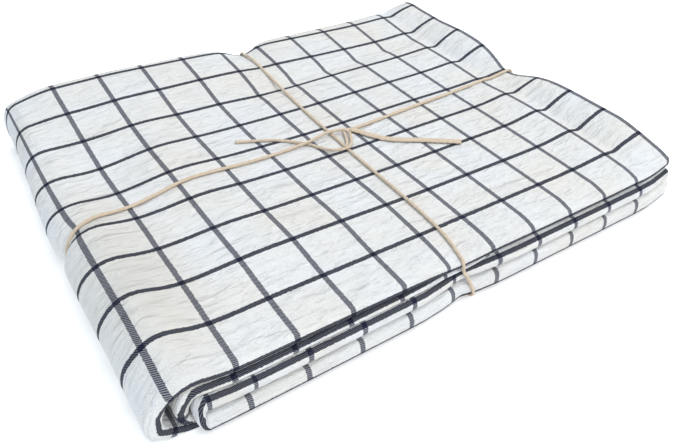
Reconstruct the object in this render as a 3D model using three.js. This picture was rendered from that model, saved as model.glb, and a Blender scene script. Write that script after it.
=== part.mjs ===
import * as THREE from 'three';

// Folded tablecloth tied with twine. Millimetres, +X along the packet, -Y its front, +Z up.
const PLY_PITCH = 4.62;
const PLIES = 6;
const SHEET = 1.8;
const SHEET_GAP = 0.5;
const CORD_RADIUS = 1.05;
const CORD_SEAT = 1.4;
const CORD_SEAT_UNDER = 1.75;
const CORD_SIDES = 8;

// Plan of the packet: where the straight runs end and how far the folds reach past them.
const LEFT_TANGENT = -127.2;
const RIGHT_TANGENT = 144.9;
const FRONT_EDGE = -114.8;
const BACK_EDGE = 118.6;
const OUTER_ROLL = 20.1;
const MIDDLE_ROLL = 8.4;

const HALF = SHEET + SHEET_GAP / 2;
const TURN = PLY_PITCH / 2;
const LIP_PARTS = 5;
const FOLD_PARTS = 5;
const ROLL_PARTS = 7;
const LAYER_GAP = PLY_PITCH - 2 * HALF;
const TOP = PLIES * PLY_PITCH - LAYER_GAP;

// Columns along X and rows along Y that every layer shares; 0 is on a cord.
const COLUMNS = [LEFT_TANGENT, -96, -34, -6.5, 0, 6.5, 38, 88, 118, 133, RIGHT_TANGENT];
const ROWS = [FRONT_EDGE + HALF, -101, -70, -32, -6.5, 0, 6.5, 34, 72, 101, BACK_EDGE];

// The strip's runs in the order the cloth follows them, from the hem underneath to the hem inside.
// level counts from the floor, reach is how far the run sticks out past the top one.
const RUNS = [
  { level: 0, heading: -1, front: -3.0, back: -1.5, right: -3.5, turn: OUTER_ROLL },
  { level: 5, heading: 1, front: 0.0, back: 0.0, right: 0.0, turn: TURN },
  { level: 4, heading: -1, front: 0.8, back: -2.0, right: 0.0, turn: MIDDLE_ROLL },
  { level: 1, heading: 1, front: -1.8, back: 0.7, right: -2.5, turn: TURN },
  { level: 2, heading: -1, front: 4.4, back: -1.0, right: -2.5, turn: TURN },
  { level: 3, heading: 1, front: 3.2, back: -2.5, right: -4.5, turn: 0 },
];

// Heights of the gaps between the runs at the front lips, where the middle folds puff out.
const FRONT_LEVELS = [0, 2.75, 5.5, 13.4, 20.4, 23.8, TOP];
const PUFF_DEPTH = 46;

// Rises and dips of the top: where they sit, how wide they spread and how high they stand.
const RELIEF = [
  { name: 'left roll, front', x: -137, y: -88, spreadX: 15, spreadY: 46, rise: 6.0 },
  { name: 'left hollow', x: -118, y: 20, spreadX: 22, spreadY: 40, rise: -3.2 },
  { name: 'back ridge, left', x: -70, y: 112, spreadX: 60, spreadY: 22, rise: 1.6 },
  { name: 'cord dip, left', x: -146, y: -15, spreadX: 22, spreadY: 11, rise: -2.4 },
  { name: 'cord dip, front', x: -3, y: -116, spreadX: 13, spreadY: 20, rise: -1.8 },
  { name: 'cord dip, back', x: 6, y: 118, spreadX: 15, spreadY: 20, rise: -2.2 },
];
const RIM_RIGHT = { start: 98, end: 147, rise: 9.8, bend: 1.7, notch: 0.78, notchSpread: 26, backLoss: 0.5 };
const RIM_BACK = { start: 56, end: 118, rise: 6.0, bend: 1.4 };

// How far each cord pulls the packet's edge in, and over what width.
const PULL = { left: 4.6, right: 3.2, front: 4.2, back: 3.0, spread: 12 };
const LEFT_SKEW = 9;
const CORNER_ROUND = 5.5;
const GROOVE = { depth: 3.0, crossing: 2.6, fade: 16 };

function ramp(from, to, value) {
  const t = Math.min(1, Math.max(0, (value - from) / (to - from)));
  return t * t * (3 - 2 * t);
}

function bell(distance, spread) {
  return Math.exp(-(distance * distance) / (spread * spread));
}

function mix(a, b, t) {
  return a + (b - a) * t;
}

// The cord round the length bows to the front at the left; the other leans left at the front.
function cordLineY(x) {
  const bow = Math.max(0, (-75 - x) / 74);
  return -3.2 + 0.055 * Math.max(0, x + 10) - 13 * Math.min(1, bow * bow);
}

function cordLineX(y) {
  const lean = Math.max(0, (-70 - y) / 47);
  return 3.4 + 0.03 * Math.max(y, -70) - 5.5 * Math.min(1, lean * lean);
}

function frontLevel(z) {
  if (z <= 0 || z >= TOP) {
    return z;
  }
  const even = FRONT_LEVELS.map((level, k) => Math.min(TOP, Math.max(0, k * PLY_PITCH - LAYER_GAP / 2)));
  const step = even.findLastIndex((level) => level <= z);
  const t = (z - even[step]) / (even[step + 1] - even[step]);
  return mix(FRONT_LEVELS[step], FRONT_LEVELS[step + 1], t);
}

function topRelief(x, y) {
  let rise = 0;
  for (const spot of RELIEF) {
    rise += spot.rise * bell(x - spot.x, spot.spreadX) * bell(y - spot.y, spot.spreadY);
  }
  const along = Math.max(0, (x - RIM_RIGHT.start) / (RIM_RIGHT.end - RIM_RIGHT.start));
  const notch = 1 - RIM_RIGHT.notch * bell(y - cordLineY(x), RIM_RIGHT.notchSpread);
  const rim = RIM_RIGHT.rise * Math.pow(Math.min(1.08, along), RIM_RIGHT.bend);
  rise += rim * notch * mix(0.15, 1, ramp(-118, -92, y)) * mix(1, RIM_RIGHT.backLoss, ramp(50, 118, y));
  const back = Math.max(0, (y - RIM_BACK.start) / (RIM_BACK.end - RIM_BACK.start));
  rise += RIM_BACK.rise * Math.pow(Math.min(1.05, back), RIM_BACK.bend) * ramp(-146, -112, x);
  return rise;
}

// Takes a point of the evenly folded packet to its place in the uneven one.
function settle(x, y, z, run) {
  const rowBend = 1 - ramp(7, 28, Math.abs(y));
  const columnBend = 1 - ramp(7, 22, Math.abs(x));
  let px = x + cordLineX(y) * columnBend;
  let py = y + cordLineY(x) * rowBend;
  const cross = bell(px - cordLineX(py), PULL.spread);
  const along = bell(py - cordLineY(px), PULL.spread);
  const toFront = 1 - ramp(FRONT_EDGE, -101, y);
  const toBack = ramp(101, BACK_EDGE, y);
  const toRight = ramp(133, RIGHT_TANGENT, x);
  const toLeft = 1 - ramp(-149, -98, x);
  const corner = Math.pow(ramp(112, 150, x), 2) * CORNER_ROUND;
  py -= (run.front * (1 - 0.75 * cross) - PULL.front * cross - corner) * toFront;
  py += (run.back * (1 - 0.75 * cross) - PULL.back * cross - 0.6 * corner) * toBack;
  px += (run.right * (1 - 0.5 * along) - PULL.right * along) * toRight;
  px += (PULL.left * along + LEFT_SKEW * ramp(-20, 118, py)) * toLeft;
  const puff = 1 - ramp(FRONT_EDGE, FRONT_EDGE + PUFF_DEPTH, py);
  let pz = mix(z, frontLevel(z), puff);
  const share = Math.max(0, pz / TOP);
  pz += topRelief(px, py) * share;
  const near = ramp(6.4, 0, Math.abs(py - cordLineY(px)));
  const beside = ramp(6.4, 0, Math.abs(px - cordLineX(py)));
  const lift = GROOVE.depth * Math.max(near, beside) + GROOVE.crossing * near * beside;
  pz += lift * Math.min(1, Math.max(0, 1 - z / GROOVE.fade));
  return new THREE.Vector3(px, py, pz);
}

function runHeight(run) {
  return run.level * PLY_PITCH + HALF;
}

// Stations of the strip: a centre, the side its first sheet faces, and the reaches there.
function stripStations() {
  const stations = [];
  RUNS.forEach((run, index) => {
    const z = runHeight(run);
    const columns = run.heading > 0 ? COLUMNS : [...COLUMNS].reverse();
    for (const x of columns) {
      stations.push({ x, z, nx: 0, nz: run.heading, run });
    }
    const next = RUNS[index + 1];
    if (next === undefined) {
      return;
    }
    const up = Math.sign(next.level - run.level);
    const tall = (Math.abs(next.level - run.level) * PLY_PITCH) / 2;
    const middle = z + up * tall;
    const facing = -run.heading * up;
    const parts = run.turn > TURN ? ROLL_PARTS : FOLD_PARTS;
    for (let k = 1; k < parts; k += 1) {
      const angle = (k / parts) * Math.PI;
      const nx = (run.heading * Math.sin(angle)) / run.turn;
      const nz = (-up * Math.cos(angle)) / tall;
      const size = Math.hypot(nx, nz) * facing;
      const blend = {
        front: mix(run.front, next.front, k / parts),
        back: mix(run.back, next.back, k / parts),
        right: mix(run.right, next.right, k / parts),
      };
      stations.push({
        x: columns[columns.length - 1] + run.heading * run.turn * Math.sin(angle),
        z: middle - up * tall * Math.cos(angle),
        nx: nx / size,
        nz: nz / size,
        run: blend,
      });
    }
  });
  return stations;
}

// One side of the strip's section, from the upper hem round the lip at the front to the lower hem.
function sectionSide(away) {
  const side = [...ROWS].reverse().map((row) => new THREE.Vector2(row, away));
  for (let k = 1; k < LIP_PARTS; k += 1) {
    const angle = Math.PI / 2 + (k / LIP_PARTS) * Math.PI;
    side.push(new THREE.Vector2(ROWS[0] + away * Math.cos(angle), away * Math.sin(angle)));
  }
  ROWS.forEach((row) => side.push(new THREE.Vector2(row, -away)));
  return side;
}

function foldedCloth() {
  const stations = stripStations();
  const steps = stations.length - 1;
  const outer = sectionSide(HALF);
  const section = [...outer, ...sectionSide(SHEET_GAP / 2).reverse()];
  const shape = new THREE.Shape(section);
  const geometry = new THREE.ExtrudeGeometry(shape, { depth: steps, steps, bevelEnabled: false });
  const position = geometry.attributes.position;
  // The hems at both ends are closed from one side of the sheet straight across to the other.
  const hem = [];
  for (let k = 0; k + 1 < outer.length; k += 1) {
    const across = section.length - 1 - k;
    hem.push(k, k + 1, across - 1, k, across - 1, across);
  }
  const ends = [[...hem].reverse(), hem];
  ends.forEach((corners, end) => {
    corners.forEach((corner, k) => {
      position.setXYZ(end * hem.length + k, section[corner].x, section[corner].y, end * steps);
    });
  });
  const placed = [];
  const plan = [];
  for (let v = 0; v < position.count; v += 1) {
    const at = stations[Math.round(position.getZ(v))];
    placed.push(onStrip(at, position.getX(v), position.getY(v)));
    plan.push(at.x + position.getX(v));
  }
  // Every layer's four-sided facets are split along the same diagonal, so that layers stay parallel.
  for (let v = geometry.groups[1].start; v < position.count; v += 6) {
    if (Math.abs(plan[v] - plan[v + 4]) > Math.abs(plan[v + 1] - plan[v + 2])) {
      placed[v + 2] = placed[v + 4];
      placed[v + 3] = placed[v];
    }
  }
  placed.forEach((point, v) => position.setXYZ(v, point.x, point.y, point.z));
  geometry.computeVertexNormals();
  return geometry;
}

// A point of the settled packet: a station of the strip, a row across it and a distance off it.
function onStrip(at, row, away) {
  return settle(at.x + away * at.nx, row, at.z + away * at.nz, at.run);
}

const BOTTOM_RUN = RUNS[0];
const TOP_RUN = RUNS[1];

// Where the cords meet at the knot, in plan, with their height over the cloth's top.
const KNOT_EYE = [
  { x: -12.5, y: -2.9, lift: 0.0 },
  { x: -5.0, y: 0.2, lift: 1.3 },
  { x: 3.2, y: 1.9, lift: 2.6 },
  { x: 9.0, y: 0.6, lift: 2.1 },
  { x: 12.2, y: -2.0, lift: 1.0 },
  { x: 10.6, y: -6.8, lift: 0.2 },
  { x: 8.4, y: -11.6, lift: 0.3 },
  { x: 6.8, y: -16.0, lift: 1.7 },
  { x: 2.6, y: -17.2, lift: 2.7 },
  { x: -2.6, y: -14.4, lift: 1.9 },
  { x: -7.0, y: -12.0, lift: 0.5 },
  { x: -10.6, y: -9.6, lift: 0.0 },
  { x: -12.8, y: -6.4, lift: 0.0 },
];
const END_LEFT = [
  { x: -15.6, y: -0.8 },
  { x: -18.0, y: 2.6 },
  { x: -22.0, y: 6.1 },
  { x: -28.7, y: 10.4 },
  { x: -38.4, y: 14.9 },
  { x: -45.9, y: 18.6 },
];
const END_RIGHT = [
  { x: 16.2, y: -5.0 },
  { x: 19.6, y: -9.6 },
  { x: 23.3, y: -14.6 },
  { x: 27.0, y: -19.0 },
  { x: 33.2, y: -23.6 },
  { x: 42.5, y: -29.4 },
  { x: 52.1, y: -35.4 },
  { x: 61.8, y: -42.0 },
];

// A route that is followed from point to point, with one step to each.
class Route extends THREE.Curve {
  constructor(points) {
    super();
    this.points = points;
  }

  getPoint(t) {
    const at = t * (this.points.length - 1);
    const step = Math.min(this.points.length - 2, Math.max(0, Math.floor(at)));
    return new THREE.Vector3().lerpVectors(this.points[step], this.points[step + 1], at - step);
  }

  getUtoTmapping(u) {
    return u;
  }
}

function cord(route) {
  const ring = [];
  for (let k = 0; k < CORD_SIDES; k += 1) {
    const angle = (k / CORD_SIDES) * 2 * Math.PI;
    ring.push(new THREE.Vector2(CORD_RADIUS * Math.cos(angle), CORD_RADIUS * Math.sin(angle)));
  }
  const extrudePath = new Route(route);
  return new THREE.ExtrudeGeometry(new THREE.Shape(ring), { steps: route.length - 1, extrudePath });
}

function restingOnTop(spots) {
  return spots.map((spot) => {
    const lift = CORD_SEAT + (spot.lift ?? 0);
    return new THREE.Vector3(spot.x, spot.y, TOP + topRelief(spot.x, spot.y) + lift);
  });
}

function softened(spots, steps) {
  return new THREE.CatmullRomCurve3(restingOnTop(spots), false, 'centripetal').getSpacedPoints(steps);
}

// Round the length: from the knot over the right rim, underneath, up the left roll and back.
function lengthwiseRoute() {
  const stations = stripStations();
  const bottom = stations.slice(0, COLUMNS.length);
  const turned = stations.filter((at, k) => k >= COLUMNS.length && k < COLUMNS.length + ROLL_PARTS - 1);
  const first = COLUMNS.length + ROLL_PARTS - 1;
  const top = stations.slice(first, first + COLUMNS.length);
  const fold = stations.slice(first + COLUMNS.length, first + COLUMNS.length + 2);
  const over = HALF + CORD_SEAT + 0.1;
  const under = HALF + CORD_SEAT_UNDER;
  const route = restingOnTop([{ x: 14.4, y: -1.8 }, { x: 20, y: -1.6 }]);
  top.filter((at) => at.x > 20).forEach((at) => route.push(onStrip(at, 0, over)));
  fold.forEach((at) => route.push(onStrip(at, 0, over)));
  const brow = route[route.length - 1];
  const foot = onStrip(bottom[0], 0, under);
  route.push(new THREE.Vector3(brow.x + 0.6, brow.y, brow.z - 4));
  route.push(new THREE.Vector3(mix(foot.x, brow.x, 0.9), mix(brow.y, foot.y, 0.7), 8));
  route.push(new THREE.Vector3(foot.x + 2.9, foot.y, foot.z + 2.4));
  route.push(new THREE.Vector3(foot.x + 1.6, foot.y, foot.z + 0.3));
  bottom.forEach((at) => route.push(onStrip(at, 0, under)));
  turned.forEach((at) => route.push(onStrip(at, 0, over + 0.5)));
  top.filter((at) => at.x < -24).forEach((at) => route.push(onStrip(at, 0, over)));
  route.push(...restingOnTop([{ x: -22, y: -3.4 }, { x: -15.9, y: -3.9 }]));
  return route;
}

// Round the width: from under the knot over the back edge, underneath, up the front and back.
function crosswiseRoute() {
  const over = TOP + CORD_SEAT;
  const route = restingOnTop([{ x: 3.5, y: 2.4 }]);
  ROWS.slice(0, -1).filter((row) => row > 10).forEach((row) => route.push(settle(0, row, over, TOP_RUN)));
  const edge = BACK_EDGE + CORD_SEAT;
  route.push(settle(0, BACK_EDGE - 1.5, over + 0.2, TOP_RUN));
  route.push(settle(0, edge - 0.1, over - 0.1, TOP_RUN));
  route.push(settle(0, edge + 0.3, TOP - 1.8, TOP_RUN));
  route.push(settle(0, edge + 0.5, TOP / 2, TOP_RUN));
  const underside = [];
  for (const row of [BACK_EDGE + 1.4, BACK_EDGE - 3, ...[...ROWS].reverse().slice(1)]) {
    const point = settle(0, row, 0, BOTTOM_RUN);
    underside.push(new THREE.Vector3(point.x, point.y, CORD_RADIUS + 0.1));
  }
  const heel = underside[0];
  route.push(new THREE.Vector3(heel.x, heel.y + 1.3, heel.z + 2.4));
  route.push(...underside);
  const toe = underside[underside.length - 1];
  const front = ROWS[0] - HALF - CORD_SEAT;
  const lips = [RUNS[4], RUNS[5], RUNS[2]].map((run) => settle(0, front, runHeight(run), run));
  route.push(new THREE.Vector3(toe.x, mix(toe.y, lips[0].y, 0.55), toe.z + 0.1));
  route.push(new THREE.Vector3(toe.x, mix(toe.y, lips[0].y, 0.95), toe.z + 2.2));
  route.push(...lips);
  for (let k = 2; k >= 0; k -= 1) {
    const angle = Math.PI / 2 + (k / 2) * (Math.PI / 2);
    const reach = HALF + CORD_SEAT + 0.35;
    const z = runHeight(TOP_RUN) + reach * Math.sin(angle);
    route.push(settle(0, ROWS[0] + reach * Math.cos(angle), z, TOP_RUN));
  }
  ROWS.slice(1).filter((row) => row < -10).forEach((row) => route.push(settle(0, row, over, TOP_RUN)));
  route.push(...restingOnTop([{ x: 3.4, y: -8 }, { x: 3.5, y: 1.6 }]));
  return route;
}

const cotton = new THREE.MeshStandardMaterial({ color: 0xf1f1ee, roughness: 0.92, metalness: 0 });
const jute = new THREE.MeshStandardMaterial({ color: 0xb89a6e, roughness: 0.95, metalness: 0 });
const packet = new THREE.Group();
packet.name = 'folded_tablecloth';

function addPiece(name, geometry, material) {
  const piece = new THREE.Mesh(geometry, material);
  piece.name = name;
  packet.add(piece);
}

addPiece('cloth', foldedCloth(), cotton);
addPiece('twine_lengthwise', cord(lengthwiseRoute()), jute);
addPiece('twine_crosswise', cord(crosswiseRoute()), jute);
addPiece('twine_knot', cord(softened(KNOT_EYE, 26)), jute);
addPiece('twine_end_left', cord(softened(END_LEFT, 9)), jute);
addPiece('twine_end_right', cord(softened(END_RIGHT, 13)), jute);

// The frame's origin is the middle of the cloth's underside.
const box = new THREE.Box3().setFromObject(packet.children[0]);
const middle = box.getCenter(new THREE.Vector3());
packet.children.forEach((piece) => piece.geometry.translate(-middle.x, -middle.y, -box.min.z));

export default packet;
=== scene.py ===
import math

import bmesh
import bpy
from mathutils import Matrix, Vector, noise


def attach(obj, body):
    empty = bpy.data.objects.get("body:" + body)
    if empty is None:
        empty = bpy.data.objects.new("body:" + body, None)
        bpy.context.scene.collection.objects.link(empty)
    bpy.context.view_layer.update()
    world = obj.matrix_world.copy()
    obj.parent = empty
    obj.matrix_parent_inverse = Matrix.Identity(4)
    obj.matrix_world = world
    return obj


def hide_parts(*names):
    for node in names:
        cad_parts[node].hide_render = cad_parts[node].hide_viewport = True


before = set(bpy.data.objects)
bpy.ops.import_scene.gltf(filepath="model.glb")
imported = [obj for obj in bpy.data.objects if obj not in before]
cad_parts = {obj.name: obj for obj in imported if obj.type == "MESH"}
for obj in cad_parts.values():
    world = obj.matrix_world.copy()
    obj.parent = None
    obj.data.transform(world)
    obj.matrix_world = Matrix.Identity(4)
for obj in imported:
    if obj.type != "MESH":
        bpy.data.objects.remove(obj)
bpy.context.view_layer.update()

# Sizes in millimetres, as in the part's source; pieces are made in metres.
MM = 0.001
MIDDLE_X, MIDDLE_Y = 0.173, 0.101
PLY_PITCH = 4.62
PLIES = 6
HALF = 2.05
LAYER_GAP = PLY_PITCH - 2 * HALF
TOP = PLIES * PLY_PITCH - LAYER_GAP
FOLD_REACH = PLY_PITCH / 2
LEFT_TANGENT, RIGHT_TANGENT = -127.2, 147.2
FRONT_EDGE, BACK_EDGE = -114.8, 118.6
LIP_START = FRONT_EDGE + HALF
OUTER_ROLL, MIDDLE_ROLL = 20.1, 8.4

# The check: repeats, the packet's middle counted in repeats, and the width of its stripes.
CHECK_ALONG, CHECK_ACROSS = 26.0, 25.07
CHECK_MIDDLE_ALONG, CHECK_MIDDLE_ACROSS = 5.355, 4.675
STRIPE_ALONG, STRIPE_ACROSS = 2.7, 2.6
FIRST_STRIPE = CHECK_ACROSS * (1 - CHECK_MIDDLE_ACROSS)

# The strip's runs in the order the cloth follows them, each with its level from the floor up and its heading.
# roll is how far its fold to the next run bulges, tuck how much cloth that fold takes up. front, back and right
# are how far it reaches past the top run, front_right and right_back the same toward the right and the back.
# droop is how far its front lip hangs, tied the share of its reach that the cord takes back. stripe is how far
# round the front lip its stripe lies, stripe_right the same toward the right, fold_stripe the same in the fold.
RUNS = (
    {"level": 0, "heading": -1, "roll": OUTER_ROLL, "tuck": 0.0,
     "front": -1.0, "front_right": -3.0, "back": -1.5, "right": -3.5, "right_back": -3.5,
     "droop": 0.0, "tied": 0.2, "stripe": 2.5, "stripe_right": 2.5, "fold_stripe": 3.0},
    {"level": 5, "heading": 1, "roll": FOLD_REACH, "tuck": 0.0,
     "front": 0.0, "front_right": 0.0, "back": 0.0, "right": 0.0, "right_back": 0.0,
     "droop": 0.0, "tied": 0.2, "stripe": 3.7, "stripe_right": 3.7, "fold_stripe": 0.0},
    {"level": 4, "heading": -1, "roll": MIDDLE_ROLL, "tuck": -9.4,
     "front": 1.2, "front_right": -2.6, "back": -2.0, "right": 0.0, "right_back": 0.0,
     "droop": 0.0, "tied": 0.85, "stripe": 4.5, "stripe_right": 4.5, "fold_stripe": 0.0},
    {"level": 1, "heading": 1, "roll": FOLD_REACH, "tuck": 0.0,
     "front": -1.8, "front_right": -1.8, "back": 0.7, "right": 5.0, "right_back": 5.0,
     "droop": 0.0, "tied": 0.2, "stripe": 4.0, "stripe_right": 4.0, "fold_stripe": 0.0},
    {"level": 2, "heading": -1, "roll": FOLD_REACH, "tuck": -3.5,
     "front": 4.4, "front_right": 3.6, "back": -1.0, "right": 5.0, "right_back": 5.0,
     "droop": 4.2, "tied": 0.2, "stripe": 2.4, "stripe_right": 2.4, "fold_stripe": 1.6},
    {"level": 3, "heading": 1, "roll": 0.0, "tuck": 9.1,
     "front": 3.2, "front_right": 2.4, "back": -2.5, "right": 2.0, "right_back": -3.0,
     "droop": 0.0, "tied": 0.85, "stripe": 0.9, "stripe_right": 0.2, "fold_stripe": 0.0},
)
REACHES = ("front", "front_right", "back", "right", "right_back", "droop", "tied", "stripe", "stripe_right")
TOP_RUN, BOTTOM_RUN = RUNS[1], RUNS[0]
# Where those values change along the front and up the right side.
ALONG_FRONT, ALONG_RIGHT = (-40, 40), (-20, 110)
# Heights of the layers at the front, at the left and at the right; the packet puffs out to them.
FRONT_LEVELS = (0.0, 2.6, 5.2, 10.2, 18.0, 21.5, TOP)
FRONT_LEVELS_RIGHT = (0.0, 2.6, 5.2, 14.2, 21.2, 22.2, TOP)
LEVELS_CHANGE = (-110, 70)
PUFF_DEPTH = 46.0
DROOP_ZONE = (-114.5, -110.5)
# The stretches near each edge over which it is drawn in or out.
FRONT_ZONE, BACK_ZONE, RIGHT_ZONE = (FRONT_EDGE, -101), (101, BACK_EDGE), (133, RIGHT_TANGENT)
PINCH_ZONE = (107.5, BACK_EDGE)

# Rises and dips of the top: middle, spread each way and height.
RELIEF = (
    {"x": 0, "y": 0, "spread_x": 900, "spread_y": 900, "rise": 0.7},
    {"x": -137, "y": -88, "spread_x": 15, "spread_y": 46, "rise": 6.0},
    {"x": -146, "y": -41, "spread_x": 18, "spread_y": 50, "rise": 3.1},
    {"x": -133, "y": -16, "spread_x": 18, "spread_y": 18, "rise": 2.2},
    {"x": -118, "y": 20, "spread_x": 22, "spread_y": 40, "rise": -3.2},
    {"x": -107, "y": 34, "spread_x": 90, "spread_y": 18, "rise": -0.9},
    {"x": -81, "y": 9, "spread_x": 18, "spread_y": 90, "rise": 1.5},
    {"x": -70, "y": 112, "spread_x": 60, "spread_y": 22, "rise": 1.6},
    {"x": -55, "y": -66, "spread_x": 50, "spread_y": 18, "rise": 1.7},
    {"x": -29, "y": 84, "spread_x": 50, "spread_y": 18, "rise": 1.4},
    {"x": -3, "y": 9, "spread_x": 50, "spread_y": 50, "rise": -1.3},
    {"x": 119, "y": -41, "spread_x": 11, "spread_y": 50, "rise": 1.6},
    {"x": -147, "y": -12, "spread_x": 15, "spread_y": 6.5, "rise": -2.4},
    {"x": 0, "y": -117, "spread_x": 12, "spread_y": 15, "rise": -4.2},
    {"x": 5, "y": 118, "spread_x": 10, "spread_y": 24, "rise": -5.2},
)
# The right rim stands up from a crease; a gentler slope leads to it. The cord notches it.
RIM_RIGHT = {"end": 149.0, "crease": 128.0, "soft": 1.5, "slope": 0.39, "crown": 144.5, "crown_soft": 2.0,
             "lead": 94.0, "lead_soft": 12.0, "lead_slope": 0.07, "valley": 1.5, "valley_spread": 5.0,
             "notch": 0.8, "notch_spread": 22, "front": (-116, -76), "front_share": 0.15,
             "back": (50, 118), "back_share": 0.62}
# Toward the back the top rises from a slanting crease and falls at the edge.
RIM_BACK = {"end": 119.0, "crease": 59.3, "slant": 0.14, "slant_run": (-20.0, 100.0), "step": 3.0, "soft": 3.0,
            "slope": 0.105, "left": (-146, -112), "valley": 1.3, "valley_spread": 5.5,
            "valley_left": (-40, -5), "valley_right": (130, 100),
            "fall_start": 107.0, "fall": 4.3, "fall_right": 2.4, "fall_run": (0, 110)}
# The front edge of the top rounds off toward the right.
SHOULDER = {"start": -103.0, "end": -117.0, "drop": 2.4, "run": (-60, 60)}
# How far the cord draws in each side.
PULL = {"left": 4.6, "left_spread": 6.0, "right": 3.2, "front": 1.8, "lips_shift": 2.0, "lips_spread": 26.0,
        "back": 7.5, "back_drop": 4.5, "back_spread": 13.0, "spread": 12.0, "ease": 0.5}
# The left roll is squarer and narrower toward the back.
ROLL_SQUARE = {"run": (-20, 118), "narrow": 0.36, "square": 0.62, "most": 1.1}
CORNER = {"start": 128.0, "end": 150.0, "round": 2.0, "lips": 0.3, "out": 3.2, "front": (-110, -80)}
# The underside has a groove for the cord.
GROOVE = {"depth": 3.0, "crossing": 2.6, "spread": 6.4, "fade": 16.0}

# The cloth's six layers across the strip: how far each lies off the strip's middle.
LAYERS = (1.8, 0.75, 0.25)
# The lips of the rolls at the left are plumper on their hollow side.
PLUMP = {OUTER_ROLL: 1.7, MIDDLE_ROLL: 0.7}
PLUMP_DEPTH = 30.0
CLOTH_THICKNESS = 0.45
# Extra rows where the cord dents the left roll.
DENT_ROWS = (-22.0, -16.5, -11.5, -6.0)

# The twine, how high its middle lies over the cloth and under it, and how much wider than high it is drawn.
TWINE_RADIUS = 0.85
TWINE_SEAT, UNDER_SEAT = 1.0, 1.65
CORD_WIDTH, RIBBON_WIDTH = 1.3, 2.5
TWINE_SIDES, TWINE_LAY, TWINE_STEP = 12, 7.5, 0.9
STRAND_WAIST, STRAND_SWELL = 0.80, 0.20
UNEVEN, UNEVEN_PITCH = 0.07, 0.35
# The seam along the tube closes within this distance, in metres.
TWINE_WELD = 1e-7
# The cord's two turns in plan: where each lies and how it strays from straight.
CORD_ALONG = {"y": -3.2, "climb": 0.055, "climb_start": -10.0,
              "bend": 0.145, "bend_start": -82.0, "bend_soft": 8.0}
CORD_ACROSS = {"x": 3.4, "slant": 0.03, "lean": 2.0, "lean_start": -70.0, "lean_run": 47.0,
               "back_shift": 1.2, "back_run": (70, 112)}
# How far the turn round the width leans at the front: at its foot, then at each lip upward.
FOOT_LEAN, LIP_LEANS = 6.6, (6.4, 3.6, 1.2)


def ramp(start, end, value):
    t = min(1.0, max(0.0, (value - start) / (end - start)))
    return t * t * (3 - 2 * t)


def bell(distance, spread):
    return math.exp(-(distance * distance) / (spread * spread))


def mix(a, b, t):
    return a + (b - a) * t


def hinge(past, soft):
    """Nothing before a crease, and rising past it; soft is the crease's roundness."""
    return (past + math.sqrt(past * past + soft * soft)) / 2


def cord_line_y(x):
    climb = CORD_ALONG["climb"] * max(0.0, x - CORD_ALONG["climb_start"])
    bend = CORD_ALONG["bend"] * hinge(CORD_ALONG["bend_start"] - x, CORD_ALONG["bend_soft"])
    return CORD_ALONG["y"] + climb - bend


def cord_line_x(y):
    start = CORD_ACROSS["lean_start"]
    lean = max(0.0, (start - y) / CORD_ACROSS["lean_run"])
    x = CORD_ACROSS["x"] + CORD_ACROSS["slant"] * max(y, start)
    x -= CORD_ACROSS["lean"] * min(1.0, lean * lean)
    return x - CORD_ACROSS["back_shift"] * ramp(*CORD_ACROSS["back_run"], y)


EVEN_LEVELS = [min(TOP, max(0.0, k * PLY_PITCH - LAYER_GAP / 2)) for k in range(PLIES + 1)]


def front_level(x, z):
    """The height at the front of what lies at height z in the even packet."""
    if z <= 0 or z >= TOP:
        return z
    step = max(k for k, level in enumerate(EVEN_LEVELS) if level <= z)
    t = (z - EVEN_LEVELS[step]) / (EVEN_LEVELS[step + 1] - EVEN_LEVELS[step])
    toward_right = ramp(*LEVELS_CHANGE, x)
    low, high = (mix(FRONT_LEVELS[k], FRONT_LEVELS_RIGHT[k], toward_right) for k in (step, step + 1))
    return mix(low, high, t)


def right_rim(x, y):
    reach = min(x, RIM_RIGHT["end"])
    rim = RIM_RIGHT["slope"] * hinge(reach - RIM_RIGHT["crease"], RIM_RIGHT["soft"])
    rim -= RIM_RIGHT["slope"] * hinge(reach - RIM_RIGHT["crown"], RIM_RIGHT["crown_soft"])
    rim += RIM_RIGHT["lead_slope"] * hinge(reach - RIM_RIGHT["lead"], RIM_RIGHT["lead_soft"])
    rim -= RIM_RIGHT["valley"] * bell(reach - RIM_RIGHT["crease"], RIM_RIGHT["valley_spread"])
    rim *= 1 - RIM_RIGHT["notch"] * bell(y - cord_line_y(x), RIM_RIGHT["notch_spread"])
    front_share = mix(RIM_RIGHT["front_share"], 1, ramp(*RIM_RIGHT["front"], y))
    back_share = mix(1, RIM_RIGHT["back_share"], ramp(*RIM_RIGHT["back"], y))
    return rim * (front_share * back_share)


def back_rise(x, y):
    behind = min(y, RIM_BACK["end"])
    slant_start, slant_end = RIM_BACK["slant_run"]
    crease = RIM_BACK["crease"] + RIM_BACK["slant"] * min(max(x, slant_start), slant_end)
    rise = RIM_BACK["slope"] * hinge(behind - crease - RIM_BACK["step"], RIM_BACK["soft"])
    valley = RIM_BACK["valley"] * bell(y - crease, RIM_BACK["valley_spread"])
    rise -= valley * ramp(*RIM_BACK["valley_left"], x) * ramp(*RIM_BACK["valley_right"], x)
    return rise * ramp(*RIM_BACK["left"], x)


def back_fall(x, y):
    start = RIM_BACK["fall_start"]
    fall = max(0.0, (min(y, RIM_BACK["end"]) - start) / (BACK_EDGE - start))
    return mix(RIM_BACK["fall"], RIM_BACK["fall_right"], ramp(*RIM_BACK["fall_run"], x)) * fall * fall


def shoulder_drop(x, y):
    start = SHOULDER["start"]
    fall = max(0.0, (start - max(y, SHOULDER["end"])) / (start - FRONT_EDGE))
    return SHOULDER["drop"] * fall * fall * ramp(*SHOULDER["run"], x)


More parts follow.
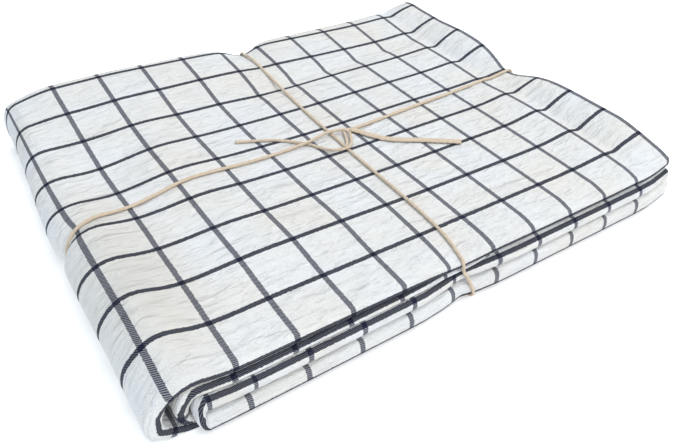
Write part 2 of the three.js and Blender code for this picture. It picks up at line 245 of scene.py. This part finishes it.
def top_relief(x, y):
    """How far the top stands above or below an even packet's."""
    rise = 0.0
    for spot in RELIEF:
        rise += spot["rise"] * bell(x - spot["x"], spot["spread_x"]) * bell(y - spot["y"], spot["spread_y"])
    rise += right_rim(x, y) + back_rise(x, y)
    return rise - back_fall(x, y) - shoulder_drop(x, y)


def left_roll_place(x, y, settled_y):
    """Where a point of the left roll lies along X: squarer toward the back, and dented by the cord."""
    deep = OUTER_ROLL + HALF
    toward_back = ramp(*ROLL_SQUARE["run"], settled_y)
    share = min(ROLL_SQUARE["most"], (LEFT_TANGENT - x) / deep)
    squared = share ** (1 - ROLL_SQUARE["square"] * toward_back)
    squared *= 1 - ROLL_SQUARE["narrow"] * toward_back
    dent = PULL["left"] * bell(y - cord_line_y(x), PULL["left_spread"])
    return x - (squared - share) * deep + dent * share * share


def settle(x, y, z, reach):
    """Takes a point of the evenly folded packet to its place in the uneven one."""
    front, front_right, back, right, right_back, droop, tied = reach[:-2]
    off_cross = x - cord_line_x(y)
    cross = bell(off_cross, PULL["spread"])
    along = bell(y - cord_line_y(x), PULL["spread"])
    corner = ramp(CORNER["start"], CORNER["end"], x) ** 2
    front = mix(front, front_right, ramp(*ALONG_FRONT, x))
    tied *= max(0.0, 1 - abs(off_cross - PULL["lips_shift"]) / PULL["lips_spread"])
    rounding = (CORNER["round"] + CORNER["lips"] * max(0.0, front)) * corner
    px, py = x, y
    py -= (front * (1 - tied) - PULL["front"] * cross - rounding) * (1 - ramp(*FRONT_ZONE, y))
    pinch = bell(off_cross, PULL["back_spread"]) * ramp(*PINCH_ZONE, y)
    back = (back * (1 - PULL["ease"] * cross) - CORNER["round"] * corner) * ramp(*BACK_ZONE, y)
    py += back - PULL["back"] * pinch
    right = mix(right, right_back, ramp(*ALONG_RIGHT, y)) + CORNER["out"] * (1 - ramp(*CORNER["front"], y))
    px += (right * (1 - PULL["ease"] * along) - PULL["right"] * along) * ramp(*RIGHT_ZONE, x)
    if x < LEFT_TANGENT:
        px = left_roll_place(x, y, py)
    puff = 1 - ramp(FRONT_EDGE, FRONT_EDGE + PUFF_DEPTH, py)
    pz = mix(z, front_level(x, z), puff)
    if droop:
        low, high = FRONT_LEVELS_RIGHT[2:4]
        hang = droop * (1 - ramp(*DROOP_ZONE, y))
        pz -= hang * min(1.0, max(0.0, (high - pz) / (high - low)))
    pz += (top_relief(px, py) - PULL["back_drop"] * pinch) * max(0.0, pz / TOP)
    near = ramp(GROOVE["spread"], 0, abs(py - cord_line_y(px)))
    beside = ramp(GROOVE["spread"], 0, abs(px - cord_line_x(py)))
    lift = GROOVE["depth"] * max(near, beside) + GROOVE["crossing"] * near * beside
    pz += lift * min(1.0, max(0.0, 1 - z / GROOVE["fade"]))
    return px, py, max(pz, CLOTH_THICKNESS / 2)


def placed(x, y, z):
    return Vector(((x - MIDDLE_X) * MM, (y - MIDDLE_Y) * MM, z * MM))


def reach_of(run):
    return [run[key] for key in REACHES]


def run_height(run):
    return run["level"] * PLY_PITCH + HALF


def spaced(start, end, count, extra=()):
    even = [mix(start, end, k / (count - 1)) for k in range(count)]
    return sorted(set(even) | set(extra))


# Places along the strip, closer at the rim's crease on the top and by the cord in the hidden runs.
RIM_COLUMNS = (124.5, 126, 127, 128, 129, 130, 131.5)
CORD_COLUMNS = (-8.5, -4.5, -0.5, 3.5, 7.5)
TOP_COLUMNS = spaced(LEFT_TANGENT, RIGHT_TANGENT, 76, RIM_COLUMNS)
HIDDEN_COLUMNS = spaced(LEFT_TANGENT, RIGHT_TANGENT, 25, CORD_COLUMNS)
ROLL_PARTS, FOLD_PARTS = {OUTER_ROLL: 18, MIDDLE_ROLL: 11}, 8


def strip_stations():
    """The strip's way through the packet, seen from the front: place, facing, reach and length so far."""
    stations = []

    def add(x, z, nx, nz, reach):
        if stations:
            last = stations[-1]
            length = last["length"] + math.hypot(x - last["x"], z - last["z"])
        else:
            length = 0.0
        stations.append({"x": x, "z": z, "nx": nx, "nz": nz, "reach": reach, "length": length})

    tucked = 0.0
    for index, run in enumerate(RUNS):
        columns = TOP_COLUMNS if run is TOP_RUN else HIDDEN_COLUMNS
        if run["heading"] < 0:
            columns = columns[::-1]
        z = run_height(run)
        for x in columns:
            add(x, z, 0.0, run["heading"], reach_of(run))
            stations[-1]["tuck"] = tucked + run["tuck"] * ramp(0, CHECK_ALONG, abs(x - columns[0]))
            stations[-1]["plump"] = 0.0
        tucked += run["tuck"]
        if index + 1 == len(RUNS):
            break
        following = RUNS[index + 1]
        up = 1 if following["level"] > run["level"] else -1
        tall = abs(following["level"] - run["level"]) * PLY_PITCH / 2
        facing = -run["heading"] * up
        parts = ROLL_PARTS.get(run["roll"], FOLD_PARTS)
        for k in range(1, parts):
            angle = math.pi * k / parts
            nx = run["heading"] * math.sin(angle) / run["roll"]
            nz = -up * math.cos(angle) / tall
            size = math.hypot(nx, nz) * facing
            reach = [mix(a, b, k / parts) for a, b in zip(reach_of(run), reach_of(following))]
            reach[REACHES.index("stripe")] += run["fold_stripe"] * math.sin(angle)
            x = columns[-1] + run["heading"] * run["roll"] * math.sin(angle)
            add(x, z + up * tall * (1 - math.cos(angle)), nx / size, nz / size, reach)
            stations[-1]["tuck"] = tucked
            stations[-1]["plump"] = -facing * PLUMP.get(run["roll"], 0.0) * math.sin(angle)
    return stations


def strip_section():
    """The cloth's way across the strip: row, distance off the strip's middle and length so far."""
    section = []

    def add(y, off):
        if section:
            last = section[-1]
            length = last["length"] + math.hypot(y - last["y"], off - last["off"])
        else:
            length = 0.0
        section.append({"y": y, "off": off, "length": length})

    def lay(start, end, off, count, extra=()):
        rows = spaced(min(start, end), max(start, end), count, extra)
        for y in rows if start < end else rows[::-1]:
            add(y, off)

    def turn(y, off_from, off_to, bulge, parts):
        middle, radius = (off_from + off_to) / 2, (off_from - off_to) / 2
        for k in range(1, parts):
            angle = math.pi * k / parts
            add(y + bulge * abs(radius) * math.sin(angle), middle + radius * math.cos(angle))

    outer, second, inner = LAYERS
    back_turn = BACK_EDGE - 1.0
    lay(BACK_EDGE - 3.0, LIP_START, -outer, 12, DENT_ROWS)
    turn(LIP_START, -outer, outer, -1, 11)
    lay(LIP_START, back_turn, outer, 60)
    turn(back_turn, outer, second, 1, 6)
    lay(back_turn, LIP_START, second, 24, DENT_ROWS)
    turn(LIP_START, second, -second, -1, 6)
    lay(LIP_START, back_turn, -second, 10, DENT_ROWS)
    turn(back_turn, -second, -inner, 1, 5)
    lay(back_turn, LIP_START, -inner, 10, DENT_ROWS)
    turn(LIP_START, -inner, inner, -1, 4)
    lay(LIP_START, BACK_EDGE - 4.5, inner, 10, DENT_ROWS)
    return section


def new_piece(name, bm, material, smooth=True):
    mesh = bpy.data.meshes.new(name)
    bm.to_mesh(mesh)
    bm.free()
    piece = bpy.data.objects.new(name, mesh)
    bpy.context.scene.collection.objects.link(piece)
    mesh.materials.append(material)
    mesh.polygons.foreach_set("use_smooth", [smooth] * len(mesh.polygons))
    return piece


def stripes_across(rows, section, stripe):
    """The measure across the flat cloth at each point of one station, true to length round its front lip."""
    lip = next(k for k, row in enumerate(section)
               if row["y"] == LIP_START and row["off"] == LAYERS[0])
    join = next(k for k in range(lip, len(section)) if section[k]["y"] > FIRST_STRIPE)
    measure = [row["length"] - section[join]["length"] + section[join]["y"] for row in section]
    measure = [value + CHECK_ACROSS * CHECK_MIDDLE_ACROSS for value in measure]
    run_up = sum((rows[k + 1] - rows[k]).length for k in range(lip, join))
    ease = (measure[join] - stripe) / run_up
    for k in range(join - 1, -1, -1):
        step = (rows[k + 1] - rows[k]).length
        measure[k] = measure[k + 1] - step * (ease if k >= lip else 1.0)
    return measure


def fold_cloth(material):
    """Folds the flat hemmed cloth: every point of the flat goes along the strip and across it."""
    stations = strip_stations()
    section = strip_section()
    bm = bmesh.new()
    across, along = len(stations) - 1, len(section) - 1
    bmesh.ops.create_grid(bm, x_segments=across, y_segments=along, size=1.0)
    top_start = next(s for s in stations if s["nz"] == 1 and s["z"] == run_height(TOP_RUN))
    check_u = top_start["length"] - LEFT_TANGENT - CHECK_ALONG * CHECK_MIDDLE_ALONG
    folded, measures = [], []
    for at in stations:
        rows = []
        for row in section:
            off = row["off"]
            if off * at["plump"] > 0:
                off *= 1 + abs(at["plump"]) * (1 - ramp(FRONT_EDGE, FRONT_EDGE + PLUMP_DEPTH, row["y"]))
            x = at["x"] + off * at["nx"]
            z = at["z"] + off * at["nz"]
            rows.append(Vector(settle(x, row["y"], z, at["reach"])))
        folded.append(rows)
        stripe = mix(*at["reach"][-2:], ramp(*ALONG_FRONT, at["x"]))
        measures.append(stripes_across(rows, section, stripe))
    flat = bm.loops.layers.uv.new("flat_cloth")
    spots = {}
    for vert in bm.verts:
        a = round((vert.co.x + 1) / 2 * across)
        b = round((vert.co.y + 1) / 2 * along)
        spots[vert] = a, b
        vert.co = placed(*folded[a][b])
    for face in bm.faces:
        for loop in face.loops:
            a, b = spots[loop.vert]
            u = stations[a]["length"] + stations[a]["tuck"] - check_u
            loop[flat].uv = u * MM, measures[a][b] * MM
    cloth = new_piece("tablecloth", bm, material)
    thick = cloth.modifiers.new("thickness", "SOLIDIFY")
    thick.thickness = CLOTH_THICKNESS * MM
    thick.offset = 0.0
    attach(cloth, "root")
    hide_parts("cloth")
    return cloth


def on_top(x, y, lift=0.0):
    z = TOP + top_relief(x, y) + TWINE_SEAT + lift
    return Vector((x, y, z))


# The knot on top, in plan, with its height over the cloth.
KNOT_EYE = (
    (-20.4, -2.0, 0.2), (-16.0, -2.5, 0.8), (-11.9, -2.9, 1.6), (-5.8, -1.2, 1.4), (0.1, -0.2, 1.7),
    (5.3, -1.2, 2.2), (9.8, -2.3, 2.0), (12.3, -4.5, 1.2), (10.3, -9.4, 0.3), (6.8, -14.7, 0.6),
    (1.9, -18.2, 1.7), (-3.6, -18.1, 2.0), (-6.8, -14.6, 1.0), (-9.5, -9.1, 0.2), (-11.9, -3.9, 0.0),
    (-14.9, -0.6, 0.0), (-17.6, 1.7, 0.0),
)
KNOT_WRAP = ((9.7, -2.0, 0.9), (9.5, -4.5, 0.5), (7.7, -8.9, 0.2), (5.1, -13.3, 0.2), (2.4, -15.8, 0.5))
END_LEFT = (
    (-17.4, 1.6, 0.0), (-20.9, 5.0, 0.0), (-26.1, 8.8, 0.0), (-31.8, 11.6, 0.0), (-38.7, 14.4, 0.0),
    (-46.2, 17.1, 0.0),
)
END_RIGHT = (
    (15.6, -2.0, 0.3), (18.4, -5.7, 0.0), (20.2, -9.7, 0.0), (23.0, -14.3, 0.0), (27.1, -19.7, 0.0),
    (32.6, -24.2, 0.0), (41.0, -29.5, 0.0), (50.0, -35.7, 0.0), (60.4, -42.9, 0.0),
)


def rounded(points, step):
    """A smooth way through the points, with a point every step."""
    fine = []
    count = len(points)
    for k in range(count - 1):
        p0 = points[max(0, k - 1)]
        p1, p2 = points[k], points[k + 1]
        p3 = points[min(count - 1, k + 2)]
        parts = max(2, int((p2 - p1).length / (step * 0.5)))
        for i in range(parts):
            t = i / parts
            fine.append(0.5 * (2 * p1 + (p2 - p0) * t + (2 * p0 - 5 * p1 + 4 * p2 - p3) * t * t
                               + (3 * p1 - p0 - 3 * p2 + p3) * t ** 3))
    fine.append(points[-1])
    total = sum((b - a).length for a, b in zip(fine, fine[1:]))
    parts = max(2, round(total / step))
    even, walked, k = [fine[0]], 0.0, 0
    for i in range(1, parts):
        goal = total * i / parts
        while walked + (fine[k + 1] - fine[k]).length < goal:
            walked += (fine[k + 1] - fine[k]).length
            k += 1
        span = (fine[k + 1] - fine[k]).length
        even.append(fine[k].lerp(fine[k + 1], (goal - walked) / span))
    even.append(fine[-1])
    return even


def lay_twine(name, route, material, node, width=1.0):
    """Two-strand twine: a tube laid along the route, its outline turning as the strands do."""
    way = rounded(route, TWINE_STEP)
    rings = []
    normal = Vector((0, 0, 1))
    walked = 0.0
    for k, here in enumerate(way):
        ahead = (way[min(k + 1, len(way) - 1)] - way[max(k - 1, 0)]).normalized()
        side = ahead.cross(normal)
        if side.length < 1e-3:
            side = ahead.orthogonal()
        side.normalize()
        normal = side.cross(ahead).normalized()
        if k:
            walked += (here - way[k - 1]).length
        twist = 2 * math.pi * walked / TWINE_LAY
        uneven = 1 + UNEVEN * noise.noise(Vector((walked * UNEVEN_PITCH, len(way) * 0.1, 0)))
        ring = []
        for i in range(TWINE_SIDES):
            angle = 2 * math.pi * i / TWINE_SIDES
            lobe = STRAND_WAIST + STRAND_SWELL * abs(math.cos(angle - twist))
            reach = TWINE_RADIUS * lobe * uneven
            ring.append(here + side * (reach * width * math.cos(angle)) + normal * (reach * math.sin(angle)))
        rings.append(ring)
    bm = bmesh.new()
    bmesh.ops.create_grid(bm, x_segments=len(way) - 1, y_segments=TWINE_SIDES, size=1.0)
    for vert in bm.verts:
        k = round((vert.co.x + 1) / 2 * (len(way) - 1))
        i = round((vert.co.y + 1) / 2 * TWINE_SIDES)
        vert.co = placed(*rings[k][i % TWINE_SIDES])
    bmesh.ops.remove_doubles(bm, verts=bm.verts, dist=TWINE_WELD)
    bmesh.ops.holes_fill(bm, edges=[edge for edge in bm.edges if edge.is_boundary], sides=TWINE_SIDES)
    bmesh.ops.recalc_face_normals(bm, faces=bm.faces)
    if bm.calc_volume(signed=True) < 0:
        bmesh.ops.reverse_faces(bm, faces=bm.faces)
    piece = new_piece(name, bm, material)
    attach(piece, "root")
    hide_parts(node)
    return piece, [placed(*p) for p in way]


def lengthwise_route():
    """From the knot to the right, under the packet, up the left roll and back to the knot."""
    over, under = HALF + TWINE_SEAT, HALF + UNDER_SEAT
    stations = strip_stations()
    roll_start = len(HIDDEN_COLUMNS)
    upper_start = roll_start + ROLL_PARTS[OUTER_ROLL] - 1
    fold_start = upper_start + len(TOP_COLUMNS)
    bottom = stations[:roll_start]
    roll = stations[roll_start:upper_start]
    upper = stations[upper_start:fold_start]
    fold = stations[fold_start:fold_start + FOLD_PARTS // 2]

    def beside(at, off):
        x = at["x"] + off * at["nx"]
        z = at["z"] + off * at["nz"]
        return Vector(settle(x, cord_line_y(x), z, at["reach"]))

    route = [on_top(11.6, -2.6, 1.4), on_top(16, -1.2), on_top(21, -1.4)]
    route += [beside(at, over) for at in upper[::4] if at["x"] > 26]
    route += [beside(at, over) for at in fold]
    brow, foot = route[-1], beside(bottom[0], under)
    route.append(Vector((mix(foot.x, brow.x, 0.9), mix(brow.y, foot.y, 0.7), 8)))
    route.append(Vector((foot.x + 2.9, foot.y, foot.z + 2.4)))
    route.append(Vector((foot.x + 1.6, foot.y, foot.z + 0.3)))
    route += [beside(at, under) for at in bottom[::2]]
    route += [beside(at, over - 0.2) for at in roll[::2]]
    route += [beside(at, over) for at in upper[::4] if at["x"] < -32]
    route += [on_top(-26.4, -2.6), on_top(-19.9, -1.9, 0.2)]
    return route


def crosswise_route():
    """From the knot to the back, under the packet, up over the front lips and back to the knot."""
    over = TOP + TWINE_SEAT

    def at(y, z, run):
        return Vector(settle(cord_line_x(y), y, z, reach_of(run)))

    route = [on_top(3.5, 2.4)]
    route += [at(y, over, TOP_RUN) for y in (14, 28, 42, 92, 102, 108, 112)]
    edge = BACK_EDGE + TWINE_SEAT
    route.append(at(BACK_EDGE - 3.0, over - 0.2, TOP_RUN))
    route.append(at(edge, TOP - 2.0, TOP_RUN))
    route.append(at(edge + 0.5, TOP / 2, TOP_RUN))
    under_rows = [BACK_EDGE + 1.4, *spaced(LIP_START, BACK_EDGE - 3, 18)[::-1]]
    under = [at(y, 0, BOTTOM_RUN) for y in under_rows]
    for point in under:
        point.z = TWINE_RADIUS + 0.2
    heel, toe = under[0], under[-1]
    toe.x += FOOT_LEAN
    route.append(Vector((heel.x, heel.y + 1.3, heel.z + 2.4)))
    route += under
    front = LIP_START - HALF - TWINE_SEAT
    lips = [at(front, run_height(run), run) for run in (RUNS[4], RUNS[5], RUNS[2])]
    for point, lean in zip(lips, LIP_LEANS):
        point.x += lean
    route.append(Vector((toe.x, mix(toe.y, lips[0].y, 0.55), toe.z + 0.1)))
    route.append(Vector((toe.x, mix(toe.y, lips[0].y, 0.95), toe.z + 2.2)))
    route += lips
    reach = HALF + TWINE_SEAT + 0.2
    for k in (2, 1, 0):
        angle = math.pi / 2 + k * math.pi / 4
        y = LIP_START + reach * math.cos(angle)
        route.append(at(y, run_height(TOP_RUN) + reach * math.sin(angle), TOP_RUN))
    route += [at(y, over, TOP_RUN) for y in spaced(-101, -14, 9)]
    route += [on_top(3.4, -8), on_top(3.5, 1.6)]
    return route


COTTON_COOL, COTTON_CREAM = (0.80, 0.82, 0.84, 1), (0.80, 0.785, 0.75, 1)
# Painted shade colour: the white is mixed toward it in the hollows of the fine crinkles and along the left
# shoulder.
COTTON_PAINTED_SHADE = (0.64, 0.63, 0.60, 1)
NAVY, INK = (0.016, 0.022, 0.055, 1), (0.006, 0.010, 0.030, 1)
TWINE_DARK, TWINE_PALE = (0.44, 0.33, 0.22, 1), (0.78, 0.66, 0.52, 1)
FIBRE_SCALE = 900.0
# The stripes' slanting threads, how much white they cover (at least, and more with each thread), how their
# edges waver in millimetres, and how sharp those edges are.
HATCH_PITCH, HATCH_SLANT = 0.9, 0.8
COVER_ALONG, COVER_ACROSS = {"least": 0.62, "thread": 0.36}, {"least": 0.85, "thread": 0.14}
WAVER_SCALE, WAVER_REACH = 900.0, 0.9
STRIPE_EDGE = 5000.0
# The crinkles, longer along the strip than across: fine ones, broad ones and the weave, with their shares; the
# fine ones also darken the white as painted shade in their hollows.
CRINKLE_STRETCH = (0.36, 1.0, 1.0)
CRINKLE_SCALE, RUMPLE_SCALE, CAST_SCALE = 340.0, 95.0, 24.0
RUMPLE_SHARE, WEAVE_SHARE = 2.6, 0.05
# The depth of a bump is in metres.
CLOTH_BUMP = {"Strength": 0.8, "Distance": 0.0030}
TWINE_BUMP = {"Strength": 0.6, "Distance": 0.0006}
# Painted shade: a creamier, darker patch of cloth along the left shoulder, placed on the flat cloth, where the
# shoulder lies in shade.
SHOULDER_PAINTED_SHADE = {"u": 10.0, "v": 62.0, "reach_u": 30.0, "reach_v": 78.0}


def shader(name):
    material = bpy.data.materials.new(name)
    material.use_nodes = True
    tree = material.node_tree
    return material, tree, tree.nodes["Principled BSDF"]


def make_node(tree, kind, inputs=None, **settings):
    node = tree.nodes.new(kind)
    for key, value in settings.items():
        setattr(node, key, value)
    for key, value in (inputs or {}).items():
        if isinstance(value, bpy.types.NodeSocket):
            tree.links.new(value, node.inputs[key])
        else:
            node.inputs[key].default_value = value
    return node


def calc(tree, operation, *values, clamp=False):
    inputs = dict(enumerate(values))
    return make_node(tree, "ShaderNodeMath", inputs, operation=operation, use_clamp=clamp).outputs[0]


def mixed(tree, factor, a, b):
    node = make_node(tree, "ShaderNodeMix", data_type="RGBA")
    for key, value in ((0, factor), (6, a), (7, b)):
        if isinstance(value, bpy.types.NodeSocket):
            tree.links.new(value, node.inputs[key])
        else:
            node.inputs[key].default_value = value
    return node.outputs[2]


def stripe_group():
    """Mask of evenly repeated stripes along one measure of the flat cloth."""
    group = bpy.data.node_groups.new("check_stripe", "ShaderNodeTree")
    for name in ("Measure", "Repeat", "Width"):
        group.interface.new_socket(name, in_out="INPUT", socket_type="NodeSocketFloat")
    group.interface.new_socket("Mask", in_out="OUTPUT", socket_type="NodeSocketFloat")
    given = group.nodes.new("NodeGroupInput").outputs
    result = group.nodes.new("NodeGroupOutput").inputs
    turns = calc(group, "DIVIDE", given["Measure"], given["Repeat"])
    offset = calc(group, "SUBTRACT", turns, calc(group, "ROUND", turns))
    away = calc(group, "MULTIPLY", calc(group, "ABSOLUTE", offset), given["Repeat"])
    inside = calc(group, "SUBTRACT", calc(group, "MULTIPLY", given["Width"], 0.5), away)
    edge = calc(group, "MULTIPLY", inside, STRIPE_EDGE, clamp=True)
    group.links.new(edge, result["Mask"])
    return group


def cotton_check():
    material, tree, bsdf = shader("cotton_check")
    flat = make_node(tree, "ShaderNodeUVMap", uv_map="flat_cloth").outputs[0]
    parts = make_node(tree, "ShaderNodeSeparateXYZ", {0: flat})
    u, v = parts.outputs[0], parts.outputs[1]
    stripe = stripe_group()

    def grain(place, scale, detail, distortion=0.0):
        inputs = {"Vector": place, "Scale": scale, "Detail": detail, "Distortion": distortion}
        return make_node(tree, "ShaderNodeTexNoise", inputs).outputs[0]

    waver = calc(tree, "SUBTRACT", grain(flat, WAVER_SCALE, 2.0), 0.5)
    waver = calc(tree, "MULTIPLY", waver, WAVER_REACH * MM)

    def stripes(measure, repeat, width):
        node = make_node(tree, "ShaderNodeGroup", node_tree=stripe)
        tree.links.new(calc(tree, "ADD", measure, waver), node.inputs["Measure"])
        node.inputs["Repeat"].default_value = repeat * MM
        node.inputs["Width"].default_value = width * MM
        return node.outputs["Mask"]

    along = stripes(u, CHECK_ALONG, STRIPE_ALONG)
    across = stripes(v, CHECK_ACROSS, STRIPE_ACROSS)

    def hatch(run, slip):
        slant = calc(tree, "MULTIPLY_ADD", slip, HATCH_SLANT, run)
        wave = calc(tree, "SINE", calc(tree, "MULTIPLY", slant, 2 * math.pi / (HATCH_PITCH * MM)))
        return calc(tree, "MULTIPLY_ADD", wave, 0.9, 0.5, clamp=True)

    crinkle_place = make_node(tree, "ShaderNodeMapping", {"Vector": flat, "Scale": CRINKLE_STRETCH}).outputs[0]
    crinkle = grain(crinkle_place, CRINKLE_SCALE, 3.0, 1.0)
    rumple = grain(crinkle_place, RUMPLE_SCALE, 2.0, 0.6)
    cast = grain(flat, CAST_SCALE, 2.0)
    cast = calc(tree, "MULTIPLY_ADD", cast, 3.2, -1.1, clamp=True)
    # Painted shade along the left shoulder: a soft round patch on the flat cloth that turns the white creamier
    # and, through the shade mix below, darker.
    shoulder_shade_place = make_node(tree, "ShaderNodeMapping", {
        "Vector": flat, "Location": (-SHOULDER_PAINTED_SHADE["u"] / SHOULDER_PAINTED_SHADE["reach_u"],
                                     -SHOULDER_PAINTED_SHADE["v"] / SHOULDER_PAINTED_SHADE["reach_v"], 0),
        "Scale": (1 / (SHOULDER_PAINTED_SHADE["reach_u"] * MM), 1 / (SHOULDER_PAINTED_SHADE["reach_v"] * MM), 1),
    }).outputs[0]
    shoulder_shade = make_node(tree, "ShaderNodeTexGradient", {"Vector": shoulder_shade_place}, gradient_type="SPHERICAL")
    shoulder_shade = shoulder_shade.outputs[1]
    white = mixed(tree, calc(tree, "ADD", cast, shoulder_shade, clamp=True), COTTON_COOL, COTTON_CREAM)
    # Painted shade: where the fine crinkles dip, the white is mixed toward the shade colour, standing in for
    # shade in their hollows.
    painted_shade = calc(tree, "MULTIPLY_ADD", crinkle, -2.0, 1.2, clamp=True)
    painted_shade = calc(tree, "MULTIPLY_ADD", painted_shade, 0.4, calc(tree, "MULTIPLY", shoulder_shade, 0.75), clamp=True)
    white = mixed(tree, painted_shade, white, COTTON_PAINTED_SHADE)

    def threads(stripe_mask, cover, run, slip):
        covered = calc(tree, "MULTIPLY_ADD", hatch(run, slip), cover["thread"], cover["least"])
        return calc(tree, "MULTIPLY", stripe_mask, covered)

    pale = threads(along, COVER_ALONG, v, u)
    dark = threads(across, COVER_ACROSS, u, v)
    colour = mixed(tree, pale, white, NAVY)
    colour = mixed(tree, dark, colour, INK)
    tree.links.new(colour, bsdf.inputs["Base Color"])
    bsdf.inputs["Roughness"].default_value = 0.92
    bsdf.inputs["Specular IOR Level"].default_value = 0.15
    turn = 2 * math.pi / (HATCH_PITCH * MM)
    weave_u, weave_v = (calc(tree, "SINE", calc(tree, "MULTIPLY", measure, turn)) for measure in (u, v))
    weave = calc(tree, "MULTIPLY", weave_u, weave_v)
    height = calc(tree, "MULTIPLY_ADD", weave, WEAVE_SHARE, crinkle)
    height = calc(tree, "MULTIPLY_ADD", rumple, RUMPLE_SHARE, height)
    bump = make_node(tree, "ShaderNodeBump", {"Height": height, **CLOTH_BUMP})
    tree.links.new(bump.outputs[0], bsdf.inputs["Normal"])
    return material


def natural_twine():
    material, tree, bsdf = shader("natural_twine")
    place = make_node(tree, "ShaderNodeTexCoord").outputs["Object"]
    fibre = make_node(tree, "ShaderNodeTexNoise", {"Vector": place, "Scale": FIBRE_SCALE, "Detail": 5.0})
    colour = mixed(tree, fibre.outputs[0], TWINE_DARK, TWINE_PALE)
    tree.links.new(colour, bsdf.inputs["Base Color"])
    bsdf.inputs["Roughness"].default_value = 0.9
    bsdf.inputs["Sheen Weight"].default_value = 0.2
    bump = make_node(tree, "ShaderNodeBump", {"Height": fibre.outputs[0], **TWINE_BUMP})
    tree.links.new(bump.outputs[0], bsdf.inputs["Normal"])
    return material


# The studio: the floor and its glow, the sky, the lights, which all face the packet, and the camera.
# Floor and lights are in metres, the camera's spot in millimetres.
FLOOR_WHITE, FLOOR_GLOW, FLOOR_SIZE = (0.97, 0.97, 0.97, 1), 0.25, 6.0
SKY_TINT, SKY_STRENGTH = (0.96, 0.98, 1.0, 1), 0.5
LIGHTS = (
    {"name": "window", "spot": (0.25, -0.75, 1.5), "size": 1.8, "power": 25.5, "tint": (0.97, 0.985, 1.0)},
    {"name": "sky", "spot": (-1.5, -0.1, 0.45), "size": 1.0, "power": 4.0, "tint": (0.34, 0.66, 1.0)},
    {"name": "fill", "spot": (0.7, 0.9, 1.3), "size": 1.6, "power": 8.0, "tint": (1.0, 0.985, 0.96)},
)
CAMERA = {"right": (0.8271, -0.5594, 0.0545), "ahead": (0.4628, 0.6228, -0.6308),
          "spot": (-177.2, -257.2, 221.1), "lens": 35.303, "sensor": 36.0}


def pale_floor():
    material, tree, bsdf = shader("pale_floor")
    bsdf.inputs["Base Color"].default_value = FLOOR_WHITE
    bsdf.inputs["Roughness"].default_value = 0.9
    bsdf.inputs["Emission Color"].default_value = (1, 1, 1, 1)
    bsdf.inputs["Emission Strength"].default_value = FLOOR_GLOW
    bm = bmesh.new()
    bmesh.ops.create_grid(bm, x_segments=1, y_segments=1, size=FLOOR_SIZE)
    new_piece("floor", bm, material, smooth=False)


def set_camera():
    right = Vector(CAMERA["right"]).normalized()
    ahead = Vector(CAMERA["ahead"]).normalized()
    up = right.cross(ahead).normalized()
    right = ahead.cross(up)
    data = bpy.data.cameras.new("photo_camera")
    camera = bpy.data.objects.new("photo_camera", data)
    bpy.context.scene.collection.objects.link(camera)
    data.sensor_fit = "HORIZONTAL"
    data.sensor_width = CAMERA["sensor"]
    data.lens = CAMERA["lens"]
    data.clip_start = 0.01
    turn = Matrix((right, up, -ahead)).transposed()
    camera.matrix_world = Matrix.Translation(placed(*CAMERA["spot"])) @ turn.to_4x4()
    bpy.context.scene.camera = camera


def set_light():
    world = bpy.data.worlds.new("studio")
    bpy.context.scene.world = world
    world.use_nodes = True
    sky = world.node_tree.nodes["Background"]
    sky.inputs["Color"].default_value = SKY_TINT
    sky.inputs["Strength"].default_value = SKY_STRENGTH
    for light in LIGHTS:
        data = bpy.data.lights.new(light["name"], "AREA")
        data.size = light["size"]
        data.energy = light["power"]
        data.color = light["tint"]
        lamp = bpy.data.objects.new(light["name"], data)
        bpy.context.scene.collection.objects.link(lamp)
        lamp.location = light["spot"]
        lamp.rotation_euler = (-Vector(light["spot"])).to_track_quat("-Z", "Y").to_euler()
    bpy.context.scene.view_settings.view_transform = "Standard"


set_camera()
set_light()
pale_floor()
twine = natural_twine()
lay_twine("twine_round_length", lengthwise_route(), twine, "twine_lengthwise", width=CORD_WIDTH)
lay_twine("twine_round_width", crosswise_route(), twine, "twine_crosswise")
lay_twine("knot_eye", [on_top(*p) for p in KNOT_EYE], twine, "twine_knot")
lay_twine("knot_wrap", [on_top(*p) for p in KNOT_WRAP], twine, "twine_knot")
for name, plan, node, width in (
    ("free_end_left", END_LEFT, "twine_end_left", 1.0),
    ("free_end_right", END_RIGHT, "twine_end_right", RIBBON_WIDTH),
):
    end, way = lay_twine(name, [on_top(*p) for p in plan], twine, node, width=width)
fold_cloth(cotton_check())
